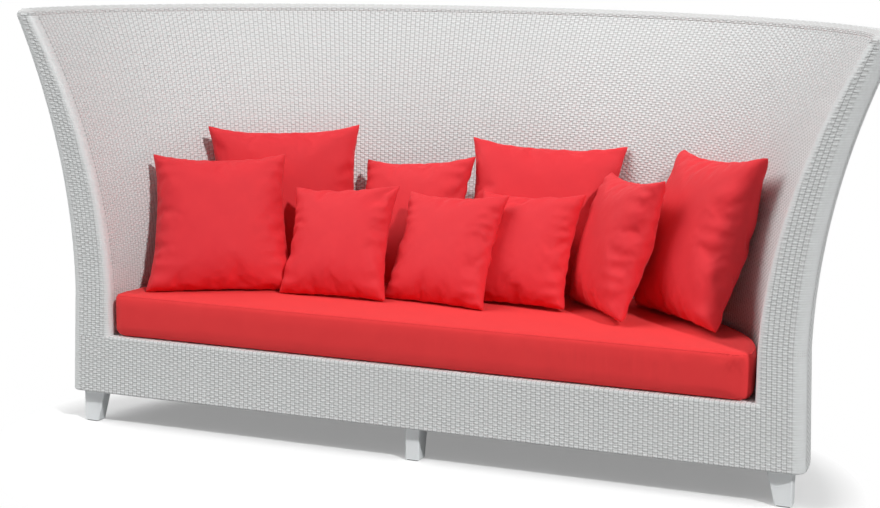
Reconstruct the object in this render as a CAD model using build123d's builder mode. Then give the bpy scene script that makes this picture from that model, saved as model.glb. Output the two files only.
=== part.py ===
import os
from math import atan2, copysign, cos, degrees, radians, sin, sqrt

from build123d import *

os.makedirs("parts", exist_ok=True)

# Woven shell. Its plan is a three-centred arch, straight across the front.
base_width = 2264
base_depth = 900
shoulder_radius = 580
corner_radius = 35
inner_corner_radius = 20
overall_height = 1262
leg_height = 100
waist_height = 420
waist_inset = 11
rim_flare = 185
rim_rise = 20
rim_steps = 3
wall_at_waist = 130
wall_at_rim = 66
flare_fullness = 0.33
flare_bands = 4
apron_height = 180
ledge_depth = 50
border_height = 24
border_proud = 3
border_width = 12
skin = 6

# Tube frame inside the shell
tube = 25
tube_wall = 2
frame_inset = 20.5
back_uprights = 7
side_uprights = 3
cross_rail_count = 5
cross_rail_pitch = 400
fit_gap = 0.3

# Legs
leg_top_width = 72
leg_foot_width = 47
leg_depth = 43
leg_edge_radius = 4
leg_side_inset = 34
leg_front_inset = 27
rear_leg_angle = 42
glide_height = 3
glide_margin = 4
glide_chamfer = 3
plate_length = 104
plate_depth = 44
plate_thickness = 4

# Seat cushion
cushion_thickness = 132
cushion_side_gap = 14
cushion_front_gap = 15
cushion_corner_radius = 45
cushion_edge = 46
# Share of the thickness and share of the edge inset, from the underside to the crown
cushion_levels = [(0, 0.3), (0.17, 0.06), (0.48, 0), (0.78, 0.1), (0.93, 0.4), (1, 1)]

# Throw pillows: half side and half thickness of each cover size
pillow_half_side = {"extra": 246, "large": 222, "medium": 205, "small": 178}
pillow_half_thickness = {"extra": 63, "large": 58, "medium": 54, "small": 48}
# How far the sides are drawn in at their middles, as a share of the half side
pillow_draw = 0.09
# Shares of the half thickness, the half side and the cut across the corners, from the seam to the crown
pillow_levels = [
    (0, 1, 0.03),
    (0.28, 0.93, 0.26),
    (0.56, 0.8, 0.38),
    (0.8, 0.61, 0.36),
    (0.95, 0.38, 0.24),
    (1, 0.2, 0.12),
]
# Each pillow: cover size, place across the seat, distance of its lower edge from the inner wall behind
# the seat, turn about the vertical, lean to the back and tilt in its own plane
pillows = {
    "pillow_left_front": ("large", -698, 581, 29, 24, 0),
    "pillow_left_back": ("extra", -609, 303, 33, 11, 0),
    "pillow_small_left": ("small", -352, 528, -1, 30, 5),
    "pillow_middle_back": ("medium", -223, 294, -12, 24, 6),
    "pillow_small_middle": ("small", -37, 495, -11, 30, 3),
    "pillow_small_right": ("small", 186, 419, -10, 27, 3),
    "pillow_right_back": ("extra", 198, 250, 12, 24, -2),
    "pillow_right_inner": ("medium", 441, 411, -53, 19, 4),
    "pillow_right_outer": ("extra", 683, 426, -49, 19, 4),
}

# The arch: two shoulder arcs and one long back arc, tangent to each other
half_width = base_width / 2
overall_depth = border_proud + base_depth + rim_flare - waist_inset
front_y = border_proud - overall_depth / 2
arch_y = front_y + corner_radius
rise = base_depth - corner_radius
shoulder_x = half_width - shoulder_radius
back_radius = (shoulder_x**2 + rise**2 - shoulder_radius**2) / (2 * (rise - shoulder_radius))
back_angle = degrees(atan2(shoulder_x, back_radius - rise))
back_centre = (0, arch_y + rise - back_radius)
right_centre = (shoulder_x, arch_y)
left_centre = (-shoulder_x, arch_y)
# Each arc: centre, radius of the outer face at the foot, first angle and sweep
arch_arcs = [
    (right_centre, shoulder_radius, 0, 90 - back_angle),
    (back_centre, back_radius, 90 - back_angle, 2 * back_angle),
    (left_centre, shoulder_radius, 90 + back_angle, 90 - back_angle),
]

# Heights
skin_foot = leg_height + border_height
seat_height = leg_height + apron_height
deck_underside = seat_height - skin
rim_height = overall_height - rim_rise
base_rail_underside = leg_height + plate_thickness
base_rail_top = base_rail_underside + tube
seat_rail_middle = deck_underside - tube / 2
top_rail_top = rim_height - skin
top_rail_underside = top_rail_top - tube
cushion_top = seat_height + fit_gap + cushion_thickness


def outer_offset(z):
    if z <= waist_height:
        return -waist_inset * (z - leg_height) / (waist_height - leg_height)
    flared = (z - waist_height) / (rim_height - waist_height)
    return rim_flare * flared**2 - waist_inset


def inner_offset(z):
    if z <= waist_height:
        return -waist_inset - wall_at_waist
    flared = (z - waist_height) / (rim_height - waist_height)
    thinning = 4 * (0.5 - flare_fullness) * flared**2 + (4 * flare_fullness - 1) * flared
    return outer_offset(z) - wall_at_waist + (wall_at_waist - wall_at_rim) * thinning


def radial_plane(centre, angle):
    turn = radians(angle)
    return Plane((*centre, 0), x_dir=(cos(turn), sin(turn), 0), z_dir=(sin(turn), -cos(turn), 0))


def flare_heights(foot, head):
    # The wall is straight up to the waist and then flares in bands of even height
    band = (head - waist_height) / flare_bands
    return [foot] + [waist_height + band * i for i in range(flare_bands + 1)]


def wall_outline(radius, offset_at, depth, foot, head):
    near = [(radius + offset_at(z), z) for z in flare_heights(foot, head)]
    far = [(x + depth, z) for x, z in near]
    Polyline(*near, *reversed(far), close=True)


def tube_section(centre_x, centre_z):
    with Locations((centre_x, centre_z)):
        Rectangle(tube, tube)
        Rectangle(tube - 2 * tube_wall, tube - 2 * tube_wall, mode=Mode.SUBTRACT)


def arch_line(offset):
    # The three arcs moved out by offset, from the right foot of the arch to the left one
    shoulder = shoulder_radius + offset
    turns = [radians(90 - back_angle) * share for share in (0, 0.5, 1)]
    right = [(shoulder_x + shoulder * cos(turn), arch_y + shoulder * sin(turn)) for turn in turns]
    left = [(-x, y) for x, y in reversed(right)]
    ThreePointArc(*right)
    ThreePointArc(right[2], (0, back_centre[1] + back_radius + offset), left[0])
    ThreePointArc(*left)


def wall_band(outer, inner):
    # Plan of a wall between two offsets, cut square at the feet of the arch
    arch_line(outer)
    arch_line(inner)
    for side in (half_width, -half_width):
        reach = copysign(1, side)
        Line((side + reach * outer, arch_y), (side + reach * inner, arch_y))


def arch_outline(offset, front):
    # Closed plan outline: the arch moved out by offset, cut straight at the given front line
    turn = radians(90 - back_angle)
    shoulder = shoulder_radius + offset
    reach = sqrt(shoulder**2 - (front - arch_y) ** 2)
    middle_turn = (atan2(front - arch_y, reach) + turn) / 2
    first = (shoulder_x + reach, front)
    middle = (shoulder_x + shoulder * cos(middle_turn), arch_y + shoulder * sin(middle_turn))
    last = (shoulder_x + shoulder * cos(turn), arch_y + shoulder * sin(turn))
    crown = (0, back_centre[1] + back_radius + offset)
    ThreePointArc(first, middle, last)
    ThreePointArc(last, crown, (-last[0], last[1]))
    ThreePointArc((-last[0], last[1]), (-middle[0], middle[1]), (-first[0], first[1]))
    Line((-first[0], first[1]), first)


def rounded_outline(offset, radius, front):
    # Closed plan outline: the arch moved out by offset, with rounded front corners
    shoulder = shoulder_radius + offset
    side = half_width + offset
    bow = radius * (1 - cos(radians(45)))
    turn = radians(90 - back_angle)
    foot = (side, front + radius)
    middle = (shoulder_x + shoulder * cos(turn / 2), arch_y + shoulder * sin(turn / 2))
    last = (shoulder_x + shoulder * cos(turn), arch_y + shoulder * sin(turn))
    for mirrored in (1, -1):
        shape = (last, middle, foot, (side - bow, front + bow), (side - radius, front))
        points = [(mirrored * x, y) for x, y in shape]
        ThreePointArc(*points[:3])
        ThreePointArc(*points[2:])
    ThreePointArc(last, (0, back_centre[1] + back_radius + offset), (-last[0], last[1]))
    Line((radius - side, front), (side - radius, front))


# Woven skins
with BuildPart() as outer_skin:
    for height in flare_heights(skin_foot, rim_height):
        with BuildSketch(Plane.XY.offset(height)):
            with BuildLine():
                wall_band(outer_offset(height), outer_offset(height) - skin)
            make_face()
    loft(ruled=True)
outer_skin.part.label = "outer_skin"
export_step(outer_skin.part, "parts/outer_skin.step")

with BuildPart() as inner_skin:
    for height in flare_heights(seat_height, rim_height):
        with BuildSketch(Plane.XY.offset(height)):
            with BuildLine():
                wall_band(inner_offset(height) + skin, inner_offset(height))
            make_face()
    loft(ruled=True)
inner_skin.part.label = "inner_skin"
export_step(inner_skin.part, "parts/inner_skin.step")

# Rim: a half-round cap over the top of the wall, with a domed end on each arm
rim_middle = (outer_offset(rim_height) + inner_offset(rim_height)) / 2
rim_half = (outer_offset(rim_height) - inner_offset(rim_height)) / 2


def rim_outline(half):
    slant = half * cos(radians(45))
    arch_line(rim_middle + half)
    arch_line(rim_middle - half)
    for side in (half_width + rim_middle, -half_width - rim_middle):
        tip = (side, arch_y - half)
        ThreePointArc((side + half, arch_y), (side + slant, arch_y - slant), tip)
        ThreePointArc(tip, (side - slant, arch_y - slant), (side - half, arch_y))


with BuildPart() as rim_wrap:
    for i in range(rim_steps):
        turn = radians(90) * i / rim_steps
        with BuildSketch(Plane.XY.offset(rim_height + rim_rise * sin(turn) / cos(radians(90) / rim_steps))):
            with BuildLine():
                rim_outline(rim_half * cos(turn))
            make_face()
    loft(ruled=True)
rim_wrap.part.label = "rim_wrap"
export_step(rim_wrap.part, "parts/rim_wrap.step")


def arm_section(z):
    # A channel in plan: outer corner, front face and inner corner, one skin thick
    outer = half_width + outer_offset(z)
    inner = half_width + inner_offset(z)
    slant = cos(radians(45))
    for inset in (0, skin):
        big = corner_radius - inset
        small = inner_corner_radius - inset
        front = front_y + inset
        big_centre = (outer - corner_radius, front_y + corner_radius)
        small_centre = (inner + inner_corner_radius, front_y + inner_corner_radius)
        ThreePointArc(
            (outer - inset, arch_y),
            (big_centre[0] + big * slant, big_centre[1] - big * slant),
            (big_centre[0], front),
        )
        Line((big_centre[0], front), (small_centre[0], front))
        ThreePointArc(
            (small_centre[0], front),
            (small_centre[0] - small * slant, small_centre[1] - small * slant),
            (inner + inset, small_centre[1]),
        )
        Line((inner + inset, small_centre[1]), (inner + inset, arch_y))
    Line((outer, arch_y), (outer - skin, arch_y))
    Line((inner, arch_y), (inner + skin, arch_y))


with BuildPart() as right_arm_front:
    for height in flare_heights(seat_height, rim_height):
        with BuildSketch(Plane.XY.offset(height)):
            with BuildLine():
                arm_section(height)
            make_face()
    loft(ruled=True)
right_arm_front.part.label = "right_arm_front"
export_step(right_arm_front.part, "parts/right_arm_front.step")

with BuildPart() as left_arm_front:
    mirror(right_arm_front.part, about=Plane.YZ)
left_arm_front.part.label = "left_arm_front"
export_step(left_arm_front.part, "parts/left_arm_front.step")


# The seat rail runs along the inner side of the uprights
upright_inner = outer_offset(seat_height) - frame_inset - tube
seat_rail_outer = upright_inner - fit_gap
seat_rail_inner = seat_rail_outer - tube


# Front apron: the woven front below the seat, wrapped round both corners, with a ledge on top
def apron_section(z):
    outer = half_width + outer_offset(z)
    centre_x = outer - corner_radius
    slant = cos(radians(45))
    for inset in (0, skin):
        radius = corner_radius - inset
        bow_x = centre_x + radius * slant
        bow_y = arch_y - radius * slant
        ThreePointArc((-centre_x - radius, arch_y), (-bow_x, bow_y), (-centre_x, front_y + inset))
        Line((-centre_x, front_y + inset), (centre_x, front_y + inset))
        ThreePointArc((centre_x, front_y + inset), (bow_x, bow_y), (centre_x + radius, arch_y))
    Line((outer, arch_y), (outer - skin, arch_y))
    Line((-outer, arch_y), (skin - outer, arch_y))


ledge_half = half_width + seat_rail_outer
with BuildPart() as front_apron:
    for height in (skin_foot, seat_height):
        with BuildSketch(Plane.XY.offset(height)):
            with BuildLine():
                apron_section(height)
            make_face()
    loft(ruled=True)
    with BuildSketch(Plane.XY.offset(deck_underside)):
        with Locations((0, front_y + (skin + ledge_depth) / 2)):
            Rectangle(2 * ledge_half, ledge_depth - skin)
    extrude(amount=skin)
front_apron.part.label = "front_apron"
export_step(front_apron.part, "parts/front_apron.step")

with BuildPart() as bottom_border:
    with BuildSketch(Plane.XY.offset(leg_height)):
        with BuildLine():
            rounded_outline(border_proud, corner_radius + border_proud, front_y - border_proud)
        make_face()
        with BuildLine():
            rounded_outline(
                border_proud - border_width,
                corner_radius + border_proud - border_width,
                front_y - border_proud + border_width,
            )
        make_face(mode=Mode.SUBTRACT)
    extrude(amount=border_height)
bottom_border.part.label = "bottom_border"
export_step(bottom_border.part, "parts/bottom_border.step")

with BuildPart() as seat_deck:
    with BuildSketch(Plane.XY.offset(deck_underside)):
        with BuildLine():
            arch_outline(seat_rail_outer - tube / 4, front_y + ledge_depth + fit_gap)
        make_face()
    extrude(amount=skin)
seat_deck.part.label = "seat_deck"
export_step(seat_deck.part, "parts/seat_deck.step")

# Tube frame
with BuildPart() as base_rail:
    for centre, radius, first, sweep_angle in arch_arcs:
        with BuildSketch(radial_plane(centre, first)):
            tube_section(radius - frame_inset - tube / 2, base_rail_underside + tube / 2)
        revolve(axis=Axis((*centre, 0), (0, 0, 1)), revolution_arc=sweep_angle)
base_rail.part.label = "base_rail"
export_step(base_rail.part, "parts/base_rail.step")

with BuildPart() as seat_rail:
    for centre, radius, first, sweep_angle in arch_arcs:
        with BuildSketch(radial_plane(centre, first)):
            tube_section(radius + seat_rail_outer - tube / 2, seat_rail_middle)
        revolve(axis=Axis((*centre, 0), (0, 0, 1)), revolution_arc=sweep_angle)
seat_rail.part.label = "seat_rail"
export_step(seat_rail.part, "parts/seat_rail.step")

top_rail_offset = outer_offset(top_rail_underside) - frame_inset - tube / 2
with BuildPart() as top_rail:
    for centre, radius, first, sweep_angle in arch_arcs:
        with BuildSketch(radial_plane(centre, first)):
            tube_section(radius + top_rail_offset, top_rail_underside + tube / 2)
        revolve(axis=Axis((*centre, 0), (0, 0, 1)), revolution_arc=sweep_angle)
top_rail.part.label = "top_rail"
export_step(top_rail.part, "parts/top_rail.step")


def straight_tube(length, y, z):
    with BuildSketch(Plane.YZ.offset(-length / 2)) as section:
        tube_section(y, z)
    extrude(section.sketch, amount=length)


front_rail_y = front_y + frame_inset + tube / 2
with BuildPart() as front_base_rail:
    straight_tube(
        2 * (half_width - frame_inset - tube - fit_gap), front_rail_y, base_rail_underside + tube / 2
    )
front_base_rail.part.label = "front_base_rail"
export_step(front_base_rail.part, "parts/front_base_rail.step")

with BuildPart() as front_seat_rail:
    straight_tube(2 * (half_width + seat_rail_inner - 3 * fit_gap), front_y + ledge_depth, seat_rail_middle)
front_seat_rail.part.label = "front_seat_rail"
export_step(front_seat_rail.part, "parts/front_seat_rail.step")

cross_rail_front = front_y + ledge_depth + tube / 2
with BuildPart() as cross_rails:
    for width, underside, height, mode in (
        (tube, deck_underside - tube, tube, Mode.ADD),
        (tube - 2 * tube_wall, deck_underside - tube + tube_wall, tube - 2 * tube_wall, Mode.SUBTRACT),
    ):
        with BuildSketch(Plane.XY.offset(underside)):
            with GridLocations(cross_rail_pitch, 0, cross_rail_count, 1):
                Rectangle(width, 2 * overall_depth)
            with BuildLine():
                arch_outline(seat_rail_inner - fit_gap, cross_rail_front)
            make_face(mode=Mode.INTERSECT)
        extrude(amount=height, mode=mode)
cross_rails.part.label = "cross_rails"
export_step(cross_rails.part, "parts/cross_rails.step")


def upright(centre, radius, angle):
    with BuildSketch(radial_plane(centre, angle)) as section:
        with BuildLine():
            wall_outline(
                radius, lambda z: outer_offset(z) - frame_inset, -tube, base_rail_top, top_rail_underside
            )
        make_face()
    extrude(section.sketch, amount=tube / 2, both=True)


post_angle = degrees(atan2(tube, shoulder_radius))
shoulder_angle = 90 - back_angle
with BuildPart() as uprights:
    for i in range(back_uprights):
        upright(back_centre, back_radius, 90 - back_angle + 2 * back_angle * (i + 0.5) / back_uprights)
    for i in range(1, side_uprights):
        angle = shoulder_angle * i / side_uprights
        upright(right_centre, shoulder_radius, angle)
        upright(left_centre, shoulder_radius, 180 - angle)
uprights.part.label = "uprights"
export_step(uprights.part, "parts/uprights.step")

with BuildPart() as right_front_post:
    upright(right_centre, shoulder_radius, post_angle)
right_front_post.part.label = "right_front_post"
export_step(right_front_post.part, "parts/right_front_post.step")

with BuildPart() as left_front_post:
    upright(left_centre, shoulder_radius, 180 - post_angle)
left_front_post.part.label = "left_front_post"
export_step(left_front_post.part, "parts/left_front_post.step")


# Legs: upright on the outer side, tapered towards the foot on the inner side
def rear_leg_plane(angle):
    turn = radians(90 + angle)
    reach = back_radius - leg_side_inset
    place = (back_centre[0] + reach * cos(turn), back_centre[1] + reach * sin(turn), 0)
    return Plane(place, x_dir=(-cos(turn), -sin(turn), 0), z_dir=(0, 0, 1))


side_leg_x = half_width - leg_side_inset
side_leg_y = front_y + leg_front_inset + leg_depth / 2
leg_planes = {
    "front_left_leg": Plane((-side_leg_x, side_leg_y, 0), x_dir=(1, 0, 0), z_dir=(0, 0, 1)),
    "front_centre_leg": Plane((0, front_y + leg_front_inset, 0), x_dir=(0, 1, 0), z_dir=(0, 0, 1)),
    "front_right_leg": Plane((side_leg_x, side_leg_y, 0), x_dir=(-1, 0, 0), z_dir=(0, 0, 1)),
    "rear_left_leg": rear_leg_plane(rear_leg_angle),
    "rear_centre_leg": rear_leg_plane(0),
    "rear_right_leg": rear_leg_plane(-rear_leg_angle),
}
for name, plane in leg_planes.items():
    side_plane = Plane(plane.origin, x_dir=plane.x_dir, z_dir=plane.y_dir * -1)
    with BuildPart() as leg:
        with BuildSketch(side_plane):
            with BuildLine():
                Polyline(
                    (0, glide_height),
                    (leg_foot_width, glide_height),
                    (leg_top_width, leg_height),
                    (0, leg_height),
                    close=True,
                )
            make_face()
        extrude(amount=leg_depth / 2, both=True)
        level_edges = leg.edges().filter_by(Plane.XY)
        fillet(leg.edges() - level_edges, leg_edge_radius)
    leg.part.label = name
    export_step(leg.part, f"parts/{name}.step")

with BuildPart() as foot_glides:
    for plane in leg_planes.values():
        with BuildSketch(plane):
            with Locations((leg_foot_width / 2, 0)):
                Rectangle(leg_foot_width - 2 * glide_margin, leg_depth - 2 * glide_margin)
        extrude(amount=glide_height)
    chamfer(foot_glides.edges().filter_by(Axis.Z), glide_chamfer)
foot_glides.part.label = "foot_glides"
export_step(foot_glides.part, "parts/foot_glides.step")

with BuildPart() as leg_plates:
    for plane in leg_planes.values():
        with BuildSketch(plane.offset(leg_height)):
            with Locations((leg_top_width / 2, 0)):
                Rectangle(plate_length, plate_depth)
        extrude(amount=plate_thickness)
leg_plates.part.label = "leg_plates"
export_step(leg_plates.part, "parts/leg_plates.step")

# Seat cushion: follows the shell, drawn in at the foot and the top edge, crowned
cushion_side = inner_offset(seat_height) - cushion_side_gap
cushion_foot = seat_height + fit_gap
cushion_front = front_y + cushion_front_gap
with BuildPart() as seat_cushion:
    for rising, drawn_in in cushion_levels:
        inset = drawn_in * cushion_edge
        with BuildSketch(Plane.XY.offset(cushion_foot + rising * cushion_thickness)):
            with BuildLine():
                rounded_outline(cushion_side - inset, cushion_corner_radius, cushion_front + inset)
            make_face()
    loft(ruled=True)
seat_cushion.part.label = "seat_cushion"
export_step(seat_cushion.part, "parts/seat_cushion.step")


# Pillows: two crowned halves that meet at a seam with drawn-in sides and pointed corners
wall_y = arch_y + rise + inner_offset(seat_height)


def pillow_plane(size, x, ahead, turn, lean, tilt):
    across = Vector(cos(radians(turn)), sin(radians(turn)), 0)
    behind = Vector(-sin(radians(turn)), cos(radians(turn)), 0)
    upward = behind * sin(radians(lean)) + Vector(0, 0, cos(radians(lean)))
    side = across * cos(radians(tilt)) + upward * sin(radians(tilt))
    top = upward * cos(radians(tilt)) - across * sin(radians(tilt))
    half = pillow_half_side[size]
    cut = pillow_levels[0][2] * half
    corner = (half - cut, half - pillow_draw * cut)
    reach = [(i * x, j * y) for x, y in (corner, corner[::-1]) for i in (-1, 1) for j in (-1, 1)]
    lowest = min((side * x + top * y).Z for x, y in reach)
    foot = Vector(x, wall_y - ahead, cushion_top + fit_gap - lowest)
    middle = foot + Vector(top.X, top.Y, 0) * half
    return Plane(middle, x_dir=side, z_dir=side.cross(top))


def pillow_outline(half, cut):
    # A square with its sides drawn in to their middles and its corners cut across
    ahead = half - cut
    drawn = half - pillow_draw * cut
    corner = [(drawn, ahead), (ahead, drawn), (0, half - pillow_draw * half)]
    points = []
    for quarter in range(4):
        points += corner
        corner = [(-y, x) for x, y in corner]
    Polyline(*points, close=True)


for name, (size, *place) in pillows.items():
    plane = pillow_plane(size, *place)
    half = pillow_half_side[size]
    with BuildPart() as pillow:
        for side in (1, -1):
            for level, share, cut in pillow_levels:
                with BuildSketch(plane.offset(side * level * pillow_half_thickness[size])):
                    with BuildLine():
                        pillow_outline(share * half, cut * half)
                    make_face()
            crown = loft(ruled=True, mode=Mode.PRIVATE)
            # Outlines at all levels are parallel, so each face of the crown is flat
            add(Solid(Shell([Face(face.outer_wire()) for face in crown.faces()])))
    pillow.part.label = name
    export_step(pillow.part, f"parts/{name}.step")
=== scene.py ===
import bpy
import bmesh
import numpy as np
from math import atan2, cos, pi, radians, sin
from mathutils import Matrix, Vector
from mathutils.bvhtree import BVHTree


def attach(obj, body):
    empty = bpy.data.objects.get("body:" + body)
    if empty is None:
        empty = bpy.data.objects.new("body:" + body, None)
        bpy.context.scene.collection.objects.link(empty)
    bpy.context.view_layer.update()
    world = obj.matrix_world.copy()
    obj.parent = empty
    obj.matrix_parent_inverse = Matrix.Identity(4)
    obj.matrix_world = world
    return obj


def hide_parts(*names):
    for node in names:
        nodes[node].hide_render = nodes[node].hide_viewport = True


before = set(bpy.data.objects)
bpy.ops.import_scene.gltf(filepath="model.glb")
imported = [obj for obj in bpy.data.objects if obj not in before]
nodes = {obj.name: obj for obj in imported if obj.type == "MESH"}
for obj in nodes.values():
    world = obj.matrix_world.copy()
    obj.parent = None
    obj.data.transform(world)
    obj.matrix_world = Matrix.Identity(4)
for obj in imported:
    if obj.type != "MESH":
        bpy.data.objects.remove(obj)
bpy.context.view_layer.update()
scene = bpy.context.scene
print("frame loaded,", len(nodes), "nodes")


class Wire:  # a shader socket that takes part in plain sums
    def __init__(self, socket):
        self.socket, self.tree = socket, socket.id_data

    def make(self, kind, settings, links):  # one node: settings first, then its sockets
        node = self.tree.nodes.new(kind)
        for key, value in settings.items():
            setattr(node, key, value)
        for key, value in links.items():
            if isinstance(value, Wire):
                self.tree.links.new(value.socket, node.inputs[key])
            else:
                node.inputs[key].default_value = value
        return node

    def maths(self, operation, first, second=0.0):
        return Wire(self.make("ShaderNodeMath", {"operation": operation}, {0: first, 1: second}).outputs[0])

    def through(self, operation, second=0.0):
        return self.maths(operation, self, second)

    def __add__(self, other):
        return self.maths("ADD", self, other)

    def __radd__(self, other):
        return self.maths("ADD", other, self)

    def __sub__(self, other):
        return self.maths("SUBTRACT", self, other)

    def __rsub__(self, other):
        return self.maths("SUBTRACT", other, self)

    def __mul__(self, other):
        return self.maths("MULTIPLY", self, other)

    def __rmul__(self, other):
        return self.maths("MULTIPLY", other, self)

    def __pow__(self, other):
        return self.maths("POWER", self, other)

    def noise(self, scale, detail=2.0, rough=0.5):  # noise read at this vector
        links = {"Vector": self, "Scale": scale, "Detail": detail, "Roughness": rough}
        return Wire(self.make("ShaderNodeTexNoise", {}, links).outputs["Fac"])

    def stretched(self, scale):  # this vector scaled on each axis
        return Wire(self.make("ShaderNodeMapping", {}, {"Vector": self, "Scale": scale}).outputs[0])

    def parts(self):
        return [Wire(out) for out in self.make("ShaderNodeSeparateXYZ", {}, {0: self}).outputs]

    def blend(self, first, second):  # colour between two, by this value
        links = {"Factor": self, 6: first, 7: second}
        return Wire(self.make("ShaderNodeMix", {"data_type": "RGBA"}, links).outputs[2])

    def bump(self, strength, distance):
        links = {"Height": self, "Strength": strength, "Distance": distance}
        return Wire(self.make("ShaderNodeBump", {}, links).outputs[0])


def newMaterial(name, coords="Object"):  # a material, its coordinates and a way to set its shader
    material = bpy.data.materials.new(name)
    material.use_nodes = True
    tree = material.node_tree
    shader = next(node for node in tree.nodes if node.type == "BSDF_PRINCIPLED")
    source = Wire(tree.nodes.new("ShaderNodeTexCoord").outputs[coords])

    def setShader(**links):
        for key, value in links.items():
            socket = shader.inputs[key.replace("_", " ")]
            if isinstance(value, Wire):
                tree.links.new(value.socket, socket)
            else:
                socket.default_value = value

    return material, source, setShader


# strand: white resin, a little different from row to row, with painted shade where it dips under a cane; UV
# u counts canes along it, v is 1 where it dips
strand = {
    "light": (0.812, 0.838, 0.836, 1), "shade": (0.745, 0.757, 0.756, 1), "toneScale": (6, 6, 150),
    "dip": (0.38, 0.38, 0.378, 1), "dipWidth": 0.36, "dipStrength": 0.8, "fineScale": (60, 60, 1400),
}
strandPaint, place, setStrand = newMaterial("strandResin")
run, dipped = Wire(place.socket.node.outputs["UV"]).parts()[:2]
rowTone = place.stretched(strand["toneScale"]).noise(1.0, 2.0)
fine = place.stretched(strand["fineScale"]).noise(1.0, 2.0)
near = ((run * 0.5 + 0.5).through("FRACT") - 0.5).through("ABSOLUTE") * 2
# painted shade: the strand turns dark grey near each point where it passes under a cane
dip = (1 - near * (1 / strand["dipWidth"])).through("MAXIMUM", 0.0) * dipped
resin = rowTone.blend(strand["shade"], strand["light"])
setStrand(
    Base_Color=(dip * strand["dipStrength"]).blend(resin, strand["dip"]),
    Roughness=0.42 + 0.16 * fine,
    Normal=fine.bump(0.25, 0.0006),
)

# upright canes between the strands, with painted shade in the gaps between them: UV u counts canes, v is
# metres
cane = {"light": (0.78, 0.78, 0.775, 1), "gap": (0.46, 0.465, 0.465, 1), "fullness": 1.15}
canePaint, place, setCane = newMaterial("caneSheet", "UV")
ridge = (1 - (2 * place.parts()[0].through("FRACT") - 1) ** 2) ** 0.5
# painted shade: between the canes the sheet takes the dark gap colour
setCane(
    Base_Color=(ridge * cane["fullness"]).through("SMOOTH_MIN", 1.0).blend(cane["gap"], cane["light"]),
    Roughness=0.6 - 0.15 * ridge,
    Normal=ridge.bump(0.8, 0.0015),
)

# core under the lengthwise rows of the rim
core = {"shade": (0.6, 0.6, 0.595, 1), "light": (0.7, 0.7, 0.695, 1), "grain": 160.0}
corePaint, place, setCore = newMaterial("coreResin")
grain = place.noise(core["grain"], 3.0)
setCore(Base_Color=grain.blend(core["shade"], core["light"]), Roughness=0.6 + 0.1 * grain)

# leg: satin paint with a faint orange peel
leg = {"paint": (0.94, 0.965, 0.975, 1), "worn": (0.89, 0.92, 0.93, 1), "patches": 9.0, "peel": 420.0}
legPaint, place, setLeg = newMaterial("legPaint")
peel = place.noise(leg["peel"], 3.0)
setLeg(
    Base_Color=place.noise(leg["patches"], 3.0).blend(leg["worn"], leg["paint"]),
    Roughness=0.3 + 0.14 * peel,
    Normal=peel.bump(0.08, 0.0008),
)

# tube frame: brushed aluminium
tube = {"shade": (0.62, 0.63, 0.65, 1), "light": (0.78, 0.79, 0.8, 1), "brushScale": (40, 40, 900)}
tubeMetal, place, setTube = newMaterial("tubeMetal")
brushed = place.stretched(tube["brushScale"]).noise(1.0, 3.0)
setTube(
    Base_Color=brushed.blend(tube["shade"], tube["light"]),
    Metallic=1.0,
    Roughness=0.34 + 0.18 * brushed,
)

# foot glide: black plastic
glide = {"shade": (0.03, 0.03, 0.03, 1), "light": (0.06, 0.06, 0.06, 1), "speck": 300.0}
glidePlastic, place, setGlide = newMaterial("glidePlastic")
speck = place.noise(glide["speck"], 2.0)
setGlide(Base_Color=speck.blend(glide["shade"], glide["light"]), Roughness=0.5 + 0.2 * speck)

# deck: flat webbing, over and under
deck = {"shade": (0.45, 0.45, 0.44, 1), "light": (0.74, 0.74, 0.73, 1), "bands": 220}
deckWeave, place, setDeck = newMaterial("deckWebbing")
weft, warp = ((way * deck["bands"]).through("SINE") for way in place.parts()[:2])
cross = 0.5 + 0.5 * weft * warp
setDeck(
    Base_Color=cross.blend(deck["shade"], deck["light"]),
    Roughness=0.6,
    Normal=cross.bump(0.6, 0.002),
)

# cushion cloth: plain red canvas with a fine weave
canvas = {"light": (0.87, 0.05, 0.052, 1), "deep": (0.8, 0.038, 0.043, 1), "threads": 2600, "mottle": 14.0}
canvasCloth, place, setCanvas = newMaterial("cushionCanvas")
sideways, backwards, upwards = place.parts()
warp = backwards * canvas["threads"] + upwards * canvas["threads"]  # runs on over the front edge
threads = (sideways * canvas["threads"]).through("SINE") * warp.through("SINE")
mottle = place.noise(canvas["mottle"], 4.0)
setCanvas(
    Base_Color=mottle.blend(canvas["deep"], canvas["light"]),
    Roughness=0.78 + 0.12 * mottle,
    Normal=(0.25 * threads + 0.5 * mottle).bump(0.3, 0.0012),
    Specular_IOR_Level=0.25,
    Sheen_Weight=0.04,
    Sheen_Roughness=0.5,
)

# pillow cloth: the same red in a closer weave; UV in metres of cloth
satin = {
    "light": (0.82, 0.036, 0.046, 1), "deep": (0.74, 0.022, 0.034, 1),
    "threads": 3000, "mottle": 16.0, "crumple": 7.0,
}
satinCloth, place, setSatin = newMaterial("pillowSatin", "UV")
weft, warp = ((way * satin["threads"]).through("SINE") for way in place.parts()[:2])
threads = weft * warp
mottle, crumple = place.noise(satin["mottle"], 4.0), place.noise(satin["crumple"], 5.0, 0.62)
setSatin(
    Base_Color=mottle.blend(satin["deep"], satin["light"]),
    Roughness=0.6 + 0.14 * mottle,
    Normal=(0.06 * threads + 1.2 * crumple).bump(0.3, 0.006),
    Specular_IOR_Level=0.3,
    Sheen_Weight=0.04,
    Sheen_Roughness=0.4,
)
print("materials mixed")

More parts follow.
